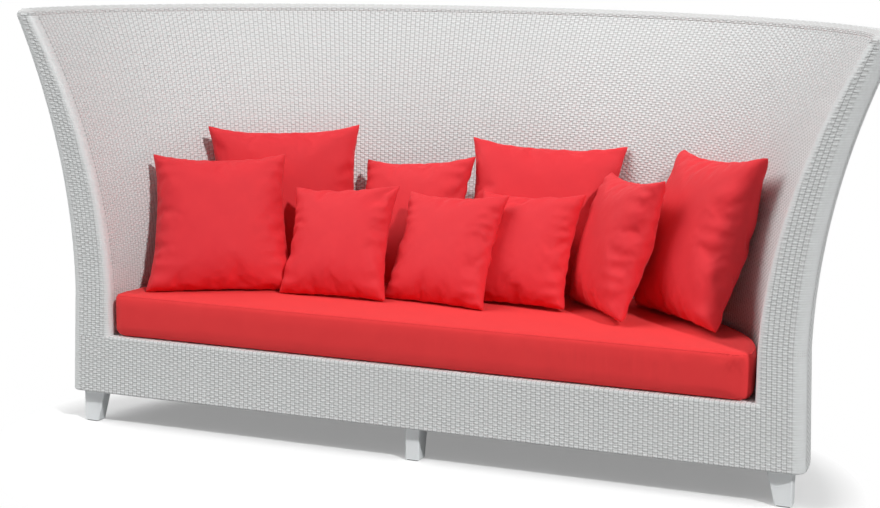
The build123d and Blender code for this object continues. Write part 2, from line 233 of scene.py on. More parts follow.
# plan of the shell, in metres: a three-centred arch, straight across the front
shell = {
    "halfWidth": 1.132, "depth": 0.9, "frontY": -0.5355, "shoulder": 0.58, "corner": 0.035,
    "innerCorner": 0.02, "legHeight": 0.1, "waist": 0.42, "waistInset": 0.011, "flare": 0.185,
    "rimHeight": 1.242, "rimRise": 0.02, "wallWaist": 0.13, "wallRim": 0.066, "fullness": 0.33,
    "lowest": 0.1033, "seat": 0.28, "ease": 0.002,
}
archY = shell["frontY"] + shell["corner"]
rise = shell["depth"] - shell["corner"]
shoulderX = shell["halfWidth"] - shell["shoulder"]
backRadius = (shoulderX**2 + rise**2 - shell["shoulder"] ** 2) / (2 * (rise - shell["shoulder"]))
backAngle = atan2(shoulderX, backRadius - rise)
shoulderRun = shell["shoulder"] * (pi / 2 - backAngle)
backRun = backRadius * 2 * backAngle


def flared(z):
    return np.clip((z - shell["waist"]) / (shell["rimHeight"] - shell["waist"]), 0, 1)


def outerOffset(z):  # how far the outer face stands out from the arch at this height
    s = flared(z)
    below = np.clip((z - shell["legHeight"]) / (shell["waist"] - shell["legHeight"]), 0, 1)
    low = -shell["waistInset"] * below
    return low + shell["flare"] * s**2 + shell["ease"] * 4 * s * (1 - s)


def innerOffset(z):
    s = flared(z)
    thin = 4 * (0.5 - shell["fullness"]) * s**2 + (4 * shell["fullness"] - 1) * s
    wall = shell["wallWaist"] - (shell["wallWaist"] - shell["wallRim"]) * thin
    return -shell["waistInset"] + shell["flare"] * s**2 + shell["ease"] * 4 * s * (1 - s) - wall


def archPoint(share, offset):  # share 0 to 1 from the right foot round to the left foot
    run = share * (2 * shoulderRun + backRun)
    left, back = run > shoulderRun + backRun, run > shoulderRun
    turn = np.where(
        left,
        pi / 2 + backAngle + (run - shoulderRun - backRun) / shell["shoulder"],
        np.where(back, pi / 2 - backAngle + (run - shoulderRun) / backRadius, run / shell["shoulder"]),
    )
    centreX = np.where(left, -shoulderX, np.where(back, 0, shoulderX))
    centreY = np.where(back & ~left, archY + rise - backRadius, archY)
    radius = np.where(back & ~left, backRadius, shell["shoulder"]) + offset
    return centreX + radius * np.cos(turn), centreY + radius * np.sin(turn)


def outerWall(share, z):
    return np.stack([*archPoint(share, outerOffset(z)), z], 1)


def innerWall(share, z):
    return np.stack([*archPoint(share, innerOffset(z)), z], 1)


armSteps = {"outer": 8, "face": 18, "inner": 22, "all": 24}  # where each stretch of an arm front ends


def armFront(share, z):  # outer corner, front face, inner corner and a short run of inner wall
    outer, inner = shell["halfWidth"] + outerOffset(z), shell["halfWidth"] + innerOffset(z)
    big, small, front = shell["corner"], shell["innerCorner"], shell["frontY"]
    step = share * armSteps["all"]
    bigEnd, faceEnd, smallEnd = (armSteps[name] for name in ("outer", "face", "inner"))
    first, second, third = step <= bigEnd, step <= faceEnd, step <= smallEnd
    smallTurn = -pi / 2 - pi / 2 * (step - faceEnd) / (smallEnd - faceEnd)
    turn = np.where(first, -pi / 2 * step / bigEnd, smallTurn)
    faceX = outer - big + (inner + small - outer + big) * (step - bigEnd) / (faceEnd - bigEnd)
    wallY = front + small + (big - small) * (step - smallEnd) / (armSteps["all"] - smallEnd)
    bendX = np.where(third, inner + small + small * np.cos(turn), inner)
    bendY = np.where(third, front + small + small * np.sin(turn), wallY)
    x = np.where(first, outer - big + big * np.cos(turn), np.where(second, faceX, bendX))
    y = np.where(first, archY + big * np.sin(turn), np.where(second, front, bendY))
    return np.stack([x, y, z], 1)


def leftArm(share, z):
    return armFront(share, z) * (-1, 1, 1)


apron = {
    "steps": 328, "corner": 8, "edge": 0.005, "ledge": 0.05,
    "ledgeGap": 0.003, "ledgeStart": 18, "ledgeRows": 7,
}


def apronFront(share, up):  # right corner, front, left corner; past its top edge it turns in as the ledge
    edge, big = apron["edge"], shell["corner"]
    bend = np.clip((up - shell["seat"] + edge) / edge, 0, pi / 2)
    z = np.minimum(up, shell["seat"] - edge) + edge * np.sin(bend)
    inward = edge * (1 - np.cos(bend)) + np.maximum(up - shell["seat"] + edge - edge * pi / 2, 0)
    outer = shell["halfWidth"] + outerOffset(z)
    first, last = apron["corner"], apron["steps"] - apron["corner"]
    step = share * apron["steps"]
    right, left = step < first, step > last
    turn = np.where(right, -pi / 2 * step / first, -pi / 2 - pi / 2 * (step - last) / first)
    faceX = (outer - big) * (1 - 2 * (step - first) / (last - first))
    leftX = big - outer + big * np.cos(turn)
    x = np.where(right, outer - big + big * np.cos(turn), np.where(left, leftX, faceX))
    y = np.where(right | left, archY + big * np.sin(turn), shell["frontY"])
    return np.stack([x, y + inward, z], 1)


# rim: rows run lengthwise in nested loops, down both sides and round the tips of the arms
rim = {"middle": 0.141, "half": 0.033, "rows": 6, "steps": 912, "side": 448, "tip": 8}


def rimTop(share, up):
    bend = pi / 2 * up / (rim["rows"] * rows["pitch"])
    half, z = rim["half"] * np.cos(bend), shell["rimHeight"] + shell["rimRise"] * np.sin(bend)
    step = np.mod(share, 1) * rim["steps"]
    side, tip = rim["side"], rim["tip"]
    outerX, outerY = archPoint(step / side, rim["middle"] + half)
    innerX, innerY = archPoint(1 - (step - side - tip) / side, rim["middle"] - half)
    leftTip, inside = (step > side) & (step < side + tip), (step >= side + tip) & (step < 2 * side + tip)
    turn = pi + pi * np.where(leftTip, step - side, step - 2 * side - tip) / tip
    tipX = np.where(leftTip, -1, 1) * (shell["halfWidth"] + rim["middle"]) + half * np.cos(turn)
    tipY = archY + half * np.sin(turn)
    x = np.where(step <= side, outerX, np.where(inside, innerX, tipX))
    y = np.where(step <= side, outerY, np.where(inside, innerY, tipY))
    return np.stack([x, y, z], 1)


# foot of the shell: its lowest rows roll under and run lengthwise
border = {
    "roll": 0.004, "under": 0.0167, "lift": 0.0004, "rows": 3,
    "steps": 484, "arch": 224, "bow": 8, "front": 244,
}


def footRoll(share, up):
    roll, bow = border["roll"], border["bow"]
    bend = np.clip((up - border["under"]) / roll, 0, pi / 2)
    offset = roll * np.sin(bend) - roll - np.maximum(border["under"] - up, 0)
    z = shell["legHeight"] + border["lift"] + roll - roll * np.cos(bend)
    step = np.mod(share, 1) * border["steps"]
    arch, leftEnd = border["arch"], border["arch"] + bow
    rightEnd = leftEnd + border["front"]
    corner, reach = shell["corner"] + offset, shell["halfWidth"] - shell["corner"]
    archX, archedY = archPoint(step / arch, offset)
    leftTurn, rightTurn = pi + pi / 2 * (step - arch) / bow, pi * 1.5 + pi / 2 * (step - rightEnd) / bow
    turn = np.where(step < leftEnd, leftTurn, rightTurn)
    bendX = np.where(step < leftEnd, -reach, reach) + corner * np.cos(turn)
    bendY = archY + corner * np.sin(turn)
    straight = (step >= leftEnd) & (step <= rightEnd)
    frontX = reach * (2 * (step - leftEnd) / border["front"] - 1)
    x = np.where(step <= arch, archX, np.where(straight, frontX, bendX))
    y = np.where(step <= arch, archedY, np.where(straight, archY - corner, bendY))
    return np.stack([x, y, z], 1)


# strand: rows lie at this pitch; each goes over two canes and under two
rows = {
    "pitch": 0.0069, "height": 0.0064, "crown": 0.0013, "swing": 0.0008, "sunk": 0.0004, "plain": 0.35,
    "lap": 0.1, "canes": 448, "cane": 0.007, "sharp": 50, "weld": 0.00002, "probe": 0.0004,
}
cycle = ((0, 0.5, 1.5, 2.5, 3.5, 4), (0, 1, 1, -1, -1, 0))  # canes along a strand, and how it lies there
lineHeights = (-0.5, 0, 0.5, -0.5)  # a row's lines: lower edge, crown, upper edge, lower edge again


def strandLines(count, rowCount):  # flat grid of a row's lines, with nothing between the rows
    lines = len(lineHeights)
    bands = rowCount * lines - 1
    bm = bmesh.new()
    bmesh.ops.create_grid(bm, x_segments=count, y_segments=bands, size=1)
    bm.faces.ensure_lookup_table()
    between = [face for face in bm.faces if (face.index // count) % lines == lines - 1]
    bmesh.ops.delete(bm, geom=between, context="FACES_ONLY")
    mesh = bpy.data.meshes.new("strands")
    bm.to_mesh(mesh)
    bm.free()
    flat = pointsOf(mesh)
    column = np.rint((flat[:, 0] + 1) / 2 * count).astype(int)
    line = np.rint((flat[:, 1] + 1) / 2 * bands).astype(int)
    return mesh, column, line % lines, line // lines


def pointsOf(mesh):
    flat = np.zeros(len(mesh.vertices) * 3, np.float32)
    mesh.vertices.foreach_get("co", flat)
    return flat.reshape(-1, 3).astype(float)


def standOff(face, side, share, up, out):  # points this far in front of a face
    probe = rows["probe"]
    along = face(share + probe, up) - face(share - probe, up)
    upward = face(share, up + probe) - face(share, up - probe)
    normal = np.cross(along, upward)
    normal *= side / np.linalg.norm(normal, axis=1, keepdims=True)
    return face(share, up) + normal * out[:, None]


def closePiece(name, mesh, points, uv, paint, *stoodFor):  # sets points, closes seams, rides the shell
    mesh.vertices.foreach_set("co", points.astype(np.float32).ravel())
    corners = np.zeros(len(mesh.loops), np.int32)
    mesh.loops.foreach_get("vertex_index", corners)
    cloth = np.stack(uv, 1)[corners].astype(np.float32)
    mesh.uv_layers.new(name="run").data.foreach_set("uv", cloth.ravel())
    bm = bmesh.new()
    bm.from_mesh(mesh)
    bmesh.ops.remove_doubles(bm, verts=bm.verts, dist=rows["weld"])
    bm.to_mesh(mesh)
    bm.free()
    mesh.shade_smooth()
    mesh.set_sharp_from_angle(angle=radians(rows["sharp"]))  # crisp strand edges
    piece = bpy.data.objects.new(name, mesh)
    scene.collection.objects.link(piece)
    mesh.materials.append(paint)
    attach(piece, "shell")
    if stoodFor:
        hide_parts(*stoodFor)


def weaveRows(name, face, side, span, segments, start, rowCount, runOf, *stoodFor):
    mesh, column, line, row = strandLines(segments, rowCount)
    share = span[0] + (span[1] - span[0]) * column / segments
    middle = start + rows["pitch"] * (row + 0.5)
    run, dipped = runOf(share, middle)
    lift = np.choose(line, lineHeights) * rows["height"] * (1 + rows["lap"] * (1 - dipped))
    phase = run + 0.5 + 2 * row
    wave = np.interp(np.mod(phase, cycle[0][-1]), *cycle) * dipped
    crown = rows["crown"] * (rows["plain"] + (1 - rows["plain"]) * dipped)
    out = rows["swing"] * wave - rows["sunk"] + np.where(line == 1, crown, 0)
    points = standOff(face, side, share, middle + lift, out)
    closePiece(name, mesh, points, (phase, dipped), strandPaint, *stoodFor)


def caneSheet(name, face, side, span, columns, foot, top, levels):  # smooth sheet behind the strands
    bm = bmesh.new()
    bmesh.ops.create_grid(bm, x_segments=columns, y_segments=levels, size=1)
    mesh = bpy.data.meshes.new(name)
    bm.to_mesh(mesh)
    bm.free()
    flat = (pointsOf(mesh) + 1) / 2
    share, up = span[0] + (span[1] - span[0]) * flat[:, 0], foot + (top - foot) * flat[:, 1]
    points = standOff(face, side, share, up, np.full(len(up), -rows["sunk"]))
    uv = columns * flat[:, 0] + 0.5, up
    closePiece(name, mesh, points, uv, canePaint)


def archRun(share, middle):
    return share * rows["canes"], np.ones(len(share))


def armRun(share, middle):  # plain bands round both corners, dashes on the front face
    step = share * armSteps["all"]
    width = outerOffset(middle) - innerOffset(middle) - shell["corner"] - shell["innerCorner"]
    first, last = armSteps["outer"], armSteps["face"]
    dipped = (step > first - 0.5) & (step < last + 0.5)
    return (step - first) / (last - first) * width / rows["cane"], dipped.astype(float)


def apronRun(share, middle):
    step = share * apron["steps"]
    dipped = (step > apron["corner"] - 0.5) & (step < apron["steps"] - apron["corner"] + 0.5)
    return step, dipped.astype(float)


def rimRun(share, middle):
    return share * rim["steps"], np.ones(len(share))


def plainRun(share, middle):
    return share * 0, np.zeros(len(share))


foot = shell["lowest"]
archRows, lowRows = (int((shell[name] - foot) / rows["pitch"]) for name in ("rimHeight", "seat"))
seatFoot, highRows = foot + lowRows * rows["pitch"], archRows - lowRows
thirds = {"Right": (0, 148), "Back": (148, 300), "Left": (300, rows["canes"])}  # in canes
whole = (0, 1)
# each wall in three pieces, the first of them standing for the CAD skin
for where, (first, last) in thirds.items():
    span, segments = (first / rows["canes"], last / rows["canes"]), last - first
    skins = [["outer_skin"], ["inner_skin"]] if where == "Right" else [[], []]
    weaveRows("outerStrands" + where, outerWall, 1, span, segments, foot, archRows, archRun, *skins[0])
    weaveRows("innerStrands" + where, innerWall, -1, span, segments, seatFoot, highRows, archRun, *skins[1])
armRow = (whole, armSteps["all"], seatFoot, highRows, armRun)
weaveRows("rightArmStrands", armFront, -1, *armRow, "right_arm_front")
weaveRows("leftArmStrands", leftArm, 1, *armRow, "left_arm_front")
weaveRows("apronStrands", apronFront, -1, whole, apron["steps"], foot, lowRows, apronRun, "front_apron")
ledgeEnd = apron["steps"] - apron["ledgeStart"]  # the ledge's ends lie under the arms
ledgeSpan = (apron["ledgeStart"] / apron["steps"], ledgeEnd / apron["steps"])
ledgeSteps = ledgeEnd - apron["ledgeStart"]
weaveRows("ledgeStrands", apronFront, -1, ledgeSpan, ledgeSteps, seatFoot, apron["ledgeRows"], apronRun)
weaveRows("rimStrands", rimTop, 1, whole, rim["steps"], 0, rim["rows"], rimRun)
weaveRows("footStrands", footRoll, 1, whole, border["steps"], 0, border["rows"], plainRun, "bottom_border")

levels = {"outer": 40, "inner": 36, "apron": 6, "ledge": 12}  # how finely each cane sheet is cut upwards
wallTop, ledgeTop = shell["rimHeight"], shell["seat"] + apron["ledge"] - apron["ledgeGap"]
innerSheet = (shell["seat"], wallTop, levels["inner"])
caneSheet("outerCanes", outerWall, 1, whole, rows["canes"], foot, wallTop, levels["outer"])
caneSheet("innerCanes", innerWall, -1, whole, rows["canes"], *innerSheet)
caneSheet("rightArmCanes", armFront, -1, whole, armSteps["all"], *innerSheet)
caneSheet("leftArmCanes", leftArm, 1, whole, armSteps["all"], *innerSheet)
caneSheet("apronCanes", apronFront, -1, whole, apron["steps"], foot, seatFoot, levels["apron"])
caneSheet("ledgeCanes", apronFront, -1, ledgeSpan, ledgeSteps, seatFoot, ledgeTop, levels["ledge"])
print("walls woven,", archRows, "rows")

# CAD pieces that are shown as they are
metalEnds = ("_rail", "_rails", "_post", "plates", "uprights")
paintOf = (
    (legPaint, [name for name in nodes if name.endswith("_leg")]),
    (tubeMetal, [name for name in nodes if name.endswith(metalEnds)]),
    (glidePlastic, ["foot_glides"]),
    (deckWeave, ["seat_deck"]),
    (corePaint, ["rim_wrap"]),
)
for paint, names in paintOf:
    for name in names:
        nodes[name].data.materials.clear()
        nodes[name].data.materials.append(paint)

# throw pillows: half side, half thickness and cells of each cover size
covers = {
    "extra": {"half": 0.246, "thick": 0.063, "cells": 48},
    "large": {"half": 0.222, "thick": 0.058, "cells": 44},
    "medium": {"half": 0.205, "thick": 0.054, "cells": 42},
    "small": {"half": 0.178, "thick": 0.048, "cells": 38},
}
# cover size, place across the seat, distance ahead of the wall behind it, turn, lean, tilt
pillows = {
    "pillow_left_front": ("large", -0.698, 0.581, 29, 24, 0),
    "pillow_left_back": ("extra", -0.609, 0.303, 33, 11, 0),
    "pillow_small_left": ("small", -0.352, 0.528, -1, 30, 5),
    "pillow_middle_back": ("medium", -0.223, 0.294, -12, 24, 6),
    "pillow_small_middle": ("small", -0.037, 0.495, -11, 30, 3),
    "pillow_small_right": ("small", 0.186, 0.419, -10, 27, 3),
    "pillow_right_back": ("extra", 0.198, 0.25, 12, 24, -2),
    "pillow_right_inner": ("medium", 0.441, 0.411, -53, 19, 4),
    "pillow_right_outer": ("extra", 0.683, 0.426, -49, 19, 4),
}
stuffing = {
    "draw": 0.11, "ear": 3, "slack": 1.05, "blown": 0.004, "crumple": 0.0005, "loose": 6, "weld": 0.00001,
    "full": 0.85, "plump": 1.4, "rearPlump": 1.1, "backFull": 0.6, "cornerThin": 1.5,
    "sag": 0.03, "sagFrom": 0.3, "settle": 1, "rightSettle": 0.5, "rest": 0.0004, "clear": 0.0003,
    "pressure": 5.0, "bend": 0.1, "stretch": 20.0, "frames": 24, "quickFrames": 6, "drawnBy": 12,
}
# puckers at the side seams: how deep, how many, how they stray, and how near the seam they lie
puckers = {
    "depth": 0.012, "count": 24, "stray": 3, "strayCount": 5, "spread": 6,
    "from": 0.45, "reach": 0.4, "grow": 1.5, "fade": 3,
}
seatTop = 0.4123  # height of the cushion's top
taper = {"pillow_left_front": 0.06}  # narrower at the top
fuller = {"pillow_right_outer": 1.45, "pillow_right_inner": 1.3}  # backs that show past the seam
cornerTips = ((0.97, 0.9973), (0.9973, 0.97))  # the two ends of a blunt corner, in half sides
# cloth of every cover
clothRule = {
    "quality": 6, "mass": 0.2, "air_damping": 4, "tension_damping": 20, "compression_damping": 20,
    "shear_damping": 10, "bending_damping": 1,
}
shearShare = 0.4  # shear stiffness as a share of the stretch


def clothOn(piece, pressure, bend, stretch):  # cover cloth, blown up without gravity
    cloth = piece.modifiers.new("cover", "CLOTH")
    cloth.collision_settings.use_collision = False
    rule = cloth.settings
    for key, value in clothRule.items():
        setattr(rule, key, value)
    rule.tension_stiffness, rule.compression_stiffness = stretch, stretch
    rule.shear_stiffness, rule.bending_stiffness = shearShare * stretch, bend
    rule.use_pressure, rule.uniform_pressure_force = True, pressure
    rule.effector_weights.gravity = 0
    return rule


def sewnCover(name, halfSide, cells, seed):  # two square sheets joined at their edges, the seam pinned
    bm = bmesh.new()
    bmesh.ops.create_grid(bm, x_segments=cells, y_segments=cells, size=1)
    uv = bm.loops.layers.uv.verify()
    for face in bm.faces:
        for loop in face.loops:
            loop[uv].uv = loop.vert.co.xy * halfSide
    behind = bmesh.ops.duplicate(bm, geom=bm.verts[:] + bm.edges[:] + bm.faces[:])["geom"]
    bmesh.ops.reverse_faces(bm, faces=[part for part in behind if isinstance(part, bmesh.types.BMFace)])
    hidden = {part for part in behind if isinstance(part, bmesh.types.BMVert)}
    for vert in bm.verts:
        puff = (1 - vert.co.x**2) * (1 - vert.co.y**2)
        vert.co.z = -puff if vert in hidden else puff
    bmesh.ops.remove_doubles(bm, verts=bm.verts, dist=stuffing["weld"])
    mesh = bpy.data.meshes.new(name)
    bm.to_mesh(mesh)
    bm.free()
    x, y, puff = pointsOf(mesh).T
    loose = np.minimum(1, stuffing["loose"] * abs(puff))
    chance = np.random.default_rng(seed)
    draw, big = stuffing["draw"], halfSide * stuffing["slack"]
    rough = stuffing["blown"] * puff + stuffing["crumple"] * loose * chance.standard_normal(len(x))
    flat = np.stack([x * big, y * big, rough], 1)
    inX, inY = (1 - draw * (1 - abs(edge) ** stuffing["ear"]) for edge in (y, x))
    drawn = np.stack([x * halfSide * inX, y * halfSide * inY, 0 * x], 1)
    mesh.vertices.foreach_set("co", flat.astype(np.float32).ravel())
    piece = bpy.data.objects.new(name, mesh)
    scene.collection.objects.link(piece)
    piece.shape_key_add(name="cut")
    pull = piece.shape_key_add(name="drawn")
    pull.data.foreach_set("co", drawn.astype(np.float32).ravel())
    for number, value in ((1, 0.0), (stuffing["drawnBy"], 1.0)):
        pull.value = value
        pull.keyframe_insert("value", frame=number)
    seam = piece.vertex_groups.new(name="seam")
    seam.add([int(i) for i in np.flatnonzero(abs(puff) < 1e-6)], 1.0, "REPLACE")
    clothOn(piece, stuffing["pressure"], stuffing["bend"], stuffing["stretch"]).vertex_group_mass = "seam"
    return piece


def pillowPlace(cover, x, ahead, turn, lean, tilt):  # where it stands: leaned back, resting on its corners
    halfSide = covers[cover]["half"]
    turn, lean, tilt = radians(turn), radians(lean), radians(tilt)
    across, behind = Vector((cos(turn), sin(turn), 0)), Vector((-sin(turn), cos(turn), 0))
    upward = behind * sin(lean) + Vector((0, 0, cos(lean)))
    side, top = across * cos(tilt) + upward * sin(tilt), upward * cos(tilt) - across * sin(tilt)
    ends = (-1, 1)
    reach = [side * (i * a) + top * (j * b) for a, b in cornerTips for i in ends for j in ends]
    lowest = min(point.z for point in reach) * halfSide
    wallY = archY + rise - shell["waistInset"] - shell["wallWaist"]
    foot = Vector((x, wallY - ahead, seatTop + stuffing["clear"] - lowest))
    middle = foot + Vector((top.x, top.y, 0)) * halfSide
    turned = Matrix((side, top, side.cross(top))).transposed().to_4x4()
    return Matrix.Translation(middle) @ turned


# seat cushion: foam block in a canvas cover, cut to the shell, swollen a little
seat = {
    "voxel": 0.009, "pressure": 3.0, "bend": 1.5, "stretch": 15.0, "frames": 10, "swell": 0.0012,
    "outline": 0.155, "front": -0.529, "corner": 0.045, "leftCorner": 0.02, "leastCorner": 0.012,
    "leftSpan": (0.25, 0.78), "foot": 0.2803, "clear": 0.0003, "weld": 0.00005,
    "steps": 400, "arch": 230, "bow": 12, "straight": 146,
}
# section of its edge from underneath to the top: way in from the outline and height above the deck
seatEdge = (
    (0.05, 0), (0.02, 0), (0.009, 0.004), (0.002, 0.013), (0, 0.022), (0, 0.118),
    (0.0012, 0.125), (0.0045, 0.1292), (0.01, 0.131), (0.03, 0.132), (0.06, 0.132),
)


def seatRing(share, inward):  # outline of the cushion, this far inside its edge
    offset, front = -seat["outline"] - inward, seat["front"] + inward
    radius = np.maximum(seat["corner"] - inward, seat["leastCorner"])
    leftSide = (share > seat["leftSpan"][0]) & (share < seat["leftSpan"][1])
    radius = np.where(leftSide, np.minimum(radius, seat["leftCorner"]), radius)
    start = np.arcsin((front + radius - archY) / (shell["shoulder"] + offset))
    first = start * shell["shoulder"] / (2 * shoulderRun + backRun)
    step = share * seat["steps"]
    arch, bow, length = seat["arch"], seat["bow"], seat["straight"]
    leftEnd, rightEnd = arch + bow, arch + bow + length
    archX, archedY = archPoint(first + (1 - 2 * first) * np.clip(step / arch, 0, 1), offset)
    reach = shoulderX + (shell["shoulder"] + offset) * np.cos(start) - radius
    leftTurn, rightTurn = pi + pi / 2 * (step - arch) / bow, pi * 1.5 + pi / 2 * (step - rightEnd) / bow
    turn = np.where(step < leftEnd, leftTurn, rightTurn)
    bendX = np.where(step < leftEnd, -reach, reach) + radius * np.cos(turn)
    bendY = front + radius + radius * np.sin(turn)
    straight = (step >= leftEnd) & (step <= rightEnd)
    frontX = reach * (2 * (step - leftEnd) / length - 1)
    x = np.where(step <= arch, archX, np.where(straight, frontX, bendX))
    y = np.where(step <= arch, archedY, np.where(straight, front, bendY))
    return x, y


bm = bmesh.new()
bmesh.ops.create_grid(bm, x_segments=seat["steps"], y_segments=len(seatEdge) - 1, size=1)
seatMesh = bpy.data.meshes.new("seatCushion")
bm.to_mesh(seatMesh)
flat = (pointsOf(seatMesh) + 1) / 2
level = flat[:, 1] * (len(seatEdge) - 1)
inward, height = (np.interp(level, range(len(seatEdge)), part) for part in zip(*seatEdge))
bm.verts.ensure_lookup_table()
for vert, x, y, z in zip(bm.verts, *seatRing(flat[:, 0], inward), seat["foot"] + height):
    vert.co = x, y, z
bmesh.ops.remove_doubles(bm, verts=bm.verts, dist=seat["weld"])
bmesh.ops.holes_fill(bm, edges=[edge for edge in bm.edges if edge.is_boundary], sides=0)
bmesh.ops.recalc_face_normals(bm, faces=bm.faces)
bm.to_mesh(seatMesh)
bm.free()
seatPad = bpy.data.objects.new("seatCushion", seatMesh)
scene.collection.objects.link(seatPad)
blocks = seatPad.modifiers.new("even", "REMESH")
blocks.mode, blocks.voxel_size = "VOXEL", seat["voxel"]
ease = seatPad.modifiers.new("ease", "SMOOTH")
ease.factor, ease.iterations = 0.5, 1


def keepShape(piece):  # the mesh as its modifiers leave it now
    graph = bpy.context.evaluated_depsgraph_get()
    shaped = bpy.data.meshes.new_from_object(piece.evaluated_get(graph))
    piece.modifiers.clear()
    if piece.data.shape_keys:
        piece.shape_key_clear()
    piece.data = shaped
    return shaped


seatBefore = pointsOf(keepShape(seatPad))
clothOn(seatPad, seat["pressure"], seat["bend"], seat["stretch"])
made = {}
for number, (name, form) in enumerate(pillows.items()):
    cover = covers[form[0]]
    made[name] = sewnCover(name.replace("pillow_", "") + "Pillow", cover["half"], cover["cells"], number)
lastFrame = stuffing["frames"]
for number in range(1, lastFrame + 1):
    scene.frame_set(number)
    if number == min(seat["frames"], lastFrame):
        seatMesh = keepShape(seatPad)
print("covers filled")

for name, piece in made.items():
    form = pillows[name]
    halfSide, thick, cells = covers[form[0]].values()
    mesh = keepShape(piece)
    piece.vertex_groups.clear()
    points = pointsOf(mesh)
    x, y = points[:, 0] / halfSide, points[:, 1] / halfSide
    puff = abs(points[:, 2]) / abs(points[:, 2]).max()
    chance = np.random.default_rng(cells + len(name))
    stray = puckers["stray"] * np.sin(puckers["strayCount"] * y + puckers["spread"] * chance.random())
    nearSeam = np.clip(abs(x) - puckers["from"], 0, puckers["reach"]) ** puckers["grow"]
    ripple = puckers["depth"] * (np.sin(puckers["count"] * y + stray) * nearSeam)
    deep = thick * puff ** stuffing["full"] + ripple * np.minimum(1, puckers["fade"] * puff)
    deep = np.maximum(deep, 0)
    rear = name.endswith("_back")  # these have other pillows close before them
    plump = stuffing["rearPlump"] if rear else stuffing["plump"]
    inside = 1 - np.clip(abs(x * y), 0, 1) ** stuffing["cornerThin"]  # the back stays thin at its corners
    rounder = thick * puff ** stuffing["backFull"] * fuller.get(name, 0) * inside
    points[:, 2] = np.where(points[:, 2] > 0, plump * deep, -np.maximum(deep, rounder))
    points[:, 0] *= 1 - taper.get(name, 0) * y
    low = np.clip(-y, 0, 1) ** 2  # lower edge lies straight on the seat, the filling sinks over it
    points[:, 1] -= low * stuffing["draw"] * halfSide * np.clip(1 - abs(x) ** stuffing["ear"], 0, 1)
    sunk = np.clip((stuffing["sagFrom"] - y) / (stuffing["sagFrom"] + 1), 0, 1)
    points[:, 1] -= stuffing["sag"] * halfSide * puff * sunk
    spot = np.array(pillowPlace(*form))
    hem = points * (1, 0, 0) + (0, -halfSide, 0)
    gap = (hem @ spot[:3, :3].T + spot[:3, 3])[:, 2] - seatTop - stuffing["rest"]
    points = points @ spot[:3, :3].T + spot[:3, 3]
    settle = stuffing["rightSettle"] if "right" in name else stuffing["settle"]
    points[:, 2] = np.maximum(points[:, 2] - settle * gap * low, seatTop + stuffing["rest"])
    mesh.vertices.foreach_set("co", points.astype(np.float32).ravel())
    mesh.shade_smooth()
    mesh.materials.append(satinCloth)
    finer = piece.modifiers.new("finer", "SUBSURF")
    finer.levels = finer.render_levels = 1
    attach(piece, name)
    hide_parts(name)

moved = pointsOf(seatMesh) - seatBefore
size = np.linalg.norm(moved, axis=1, keepdims=True)
points = seatBefore + moved * np.minimum(1, seat["swell"] / np.maximum(size, 1e-9))
points[:, 2] = np.clip(points[:, 2], shell["seat"] + seat["clear"], seatTop)
# faint upright puckers on the front, stronger to the right
wrinkle = {
    "depth": 0.0016, "waves": 150, "stray": 9, "strayCount": 11, "top": 0.398, "topFade": 0.02,
    "bottom": 0.29, "bottomFade": 0.05, "behind": 0.06, "behindFade": 0.03, "middle": 0.25, "least": 0.1,
}
run = points[:, 0] * wrinkle["waves"] + wrinkle["stray"] * np.sin(points[:, 0] * wrinkle["strayCount"])
under = np.clip((wrinkle["top"] - points[:, 2]) / wrinkle["topFade"], 0, 1)
over = np.clip((points[:, 2] - wrinkle["bottom"]) / wrinkle["bottomFade"], 0, 1)
front = np.clip((shell["frontY"] + wrinkle["behind"] - points[:, 1]) / wrinkle["behindFade"], 0, 1)
stronger = np.clip(wrinkle["middle"] + points[:, 0], wrinkle["least"], 1)
points[:, 1] += front * (under * over) * wrinkle["depth"] * np.sin(run) * stronger
# short slanting creases at the right front corner
crease = {
    "place": (0.925, -0.528, 0.382), "squash": (1, 1, 1.3), "reach": 0.03,
    "depth": 0.004, "lean": 0.8, "waves": 260,
}
away = np.linalg.norm((points - crease["place"]) * crease["squash"], axis=1)
slant = (points[:, 2] - crease["place"][2]) * crease["lean"] + (points[:, 0] - crease["place"][0])
points[:, 1] += crease["depth"] * np.exp(-((away / crease["reach"]) ** 2)) * np.sin(slant * crease["waves"])
seatMesh.vertices.foreach_set("co", points.astype(np.float32).ravel())
seatMesh.shade_smooth()
seatMesh.materials.clear()
seatMesh.materials.append(canvasCloth)
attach(seatPad, "seat_cushion")
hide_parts("seat_cushion")

# seam along the cushion's top edge: a thin ridge laid on the cover
seam = {
    "inward": (0.0085, 0.0045, 0.001), "height": (0.1308, 0.1292, 0.1245), "ridge": 0.0014, "sunk": 0.0005,
}
seamMesh, column, line = strandLines(seat["steps"], 1)[:3]
inward, height = (np.choose(line, seam[name] + seam[name][:1]) for name in ("inward", "height"))
cover = BVHTree.FromPolygons(points.tolist(), [list(face.vertices) for face in seatMesh.polygons])
ring = seatRing(column / seat["steps"], inward)
for vert, across, x, y, z in zip(seamMesh.vertices, line, *ring, seat["foot"] + height):
    spot, outward = cover.find_nearest((x, y, z))[:2]
    vert.co = spot + outward * (seam["ridge"] if across == 1 else -seam["sunk"])
seamMesh.materials.append(canvasCloth)
seatSeam = bpy.data.objects.new("seatSeam", seamMesh)
scene.collection.objects.link(seatSeam)
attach(seatSeam, "seat_cushion")
print("seat and pillows placed")

